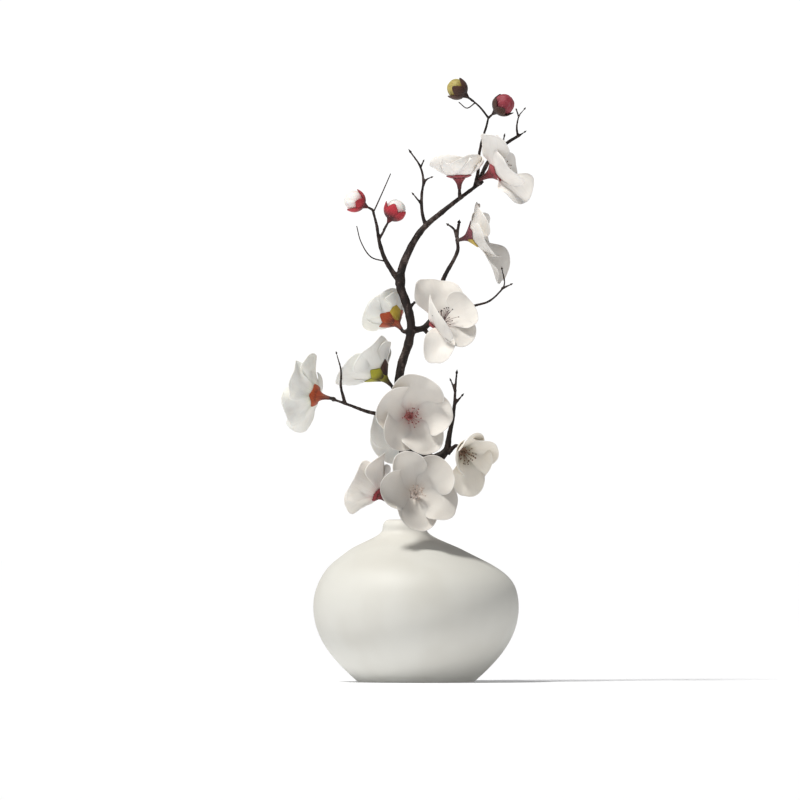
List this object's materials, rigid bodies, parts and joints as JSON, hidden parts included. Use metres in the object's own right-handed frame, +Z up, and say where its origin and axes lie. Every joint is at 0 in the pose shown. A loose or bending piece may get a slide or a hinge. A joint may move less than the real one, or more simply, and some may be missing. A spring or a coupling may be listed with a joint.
{
  "type": "flower arrangement",
  "caption": "Branch of white plum blossom with buds and bare twigs, standing in a squat narrow-necked matt vase.",
  "frame": {"origin": "middle of the vase's foot, on the surface that it stands on", "axes": "+Z up out of the vase's mouth; -Y is the side it is looked at from, and +X is to that viewer's right"},
  "size_m": [0.151, 0.1236, 0.3637],
  "materials": {
    "vase": "matt white ceramic with a soft sheen, smooth all over",
    "bark": "dark brown, nearly black bark with grey highlights, matt",
    "petals": "thick matt white petals, faintly pink in the shade, with a thin pale rim",
    "stamens": "thin brown-red threads with darker anthers",
    "sepals_red": "matt deep red",
    "sepals_orange": "matt orange-red with a yellow-green edge",
    "sepals_olive": "matt olive yellow, dark brown at the stalk",
    "bud_petals_white": "matt white, pink-red towards the base",
    "bud_petals_olive": "matt olive yellow",
    "bud_petals_crimson": "matt deep crimson",
    "bud_sepals": "matt dark brown-red"
  },
  "bodies": {
    "root": {"vase": "vase", "branch": "bark", "tip_bloom_petals": "petals", "tip_bloom_calyx": "sepals_red", "tip_bloom_stamens": "stamens", "top_bloom_petals": "petals", "top_bloom_calyx": "sepals_red", "top_bloom_stamens": "stamens", "right_bloom_petals": "petals", "right_bloom_calyx": "sepals_red", "right_bloom_stamens": "stamens", "middle_bloom_petals": "petals", "middle_bloom_calyx": "sepals_red", "middle_bloom_stamens": "stamens", "shaded_bloom_petals": "petals", "shaded_bloom_calyx": "sepals_orange", "shaded_bloom_stamens": "stamens", "left_bloom_petals": "petals", "left_bloom_calyx": "sepals_olive", "left_bloom_stamens": "stamens", "far_left_bloom_petals": "petals", "far_left_bloom_calyx": "sepals_orange", "far_left_bloom_stamens": "stamens", "large_bloom_petals": "petals", "large_bloom_calyx": "sepals_red", "large_bloom_stamens": "stamens", "back_bloom_petals": "petals", "back_bloom_calyx": "sepals_orange", "back_bloom_stamens": "stamens", "mouth_bloom_petals": "petals", "mouth_bloom_calyx": "sepals_red", "mouth_bloom_stamens": "stamens", "low_left_bloom_petals": "petals", "low_left_bloom_calyx": "sepals_red", "low_left_bloom_stamens": "stamens", "low_right_bloom_petals": "petals", "low_right_bloom_calyx": "sepals_red", "low_right_bloom_stamens": "stamens", "outer_bud_petals": "bud_petals_white", "outer_bud_calyx": "bud_sepals", "inner_bud_petals": "bud_petals_white", "inner_bud_calyx": "bud_sepals", "olive_bud_petals": "bud_petals_olive", "olive_bud_calyx": "bud_sepals", "crimson_bud_petals": "bud_petals_crimson", "crimson_bud_calyx": "bud_sepals"}
  },
  "joints": []
}
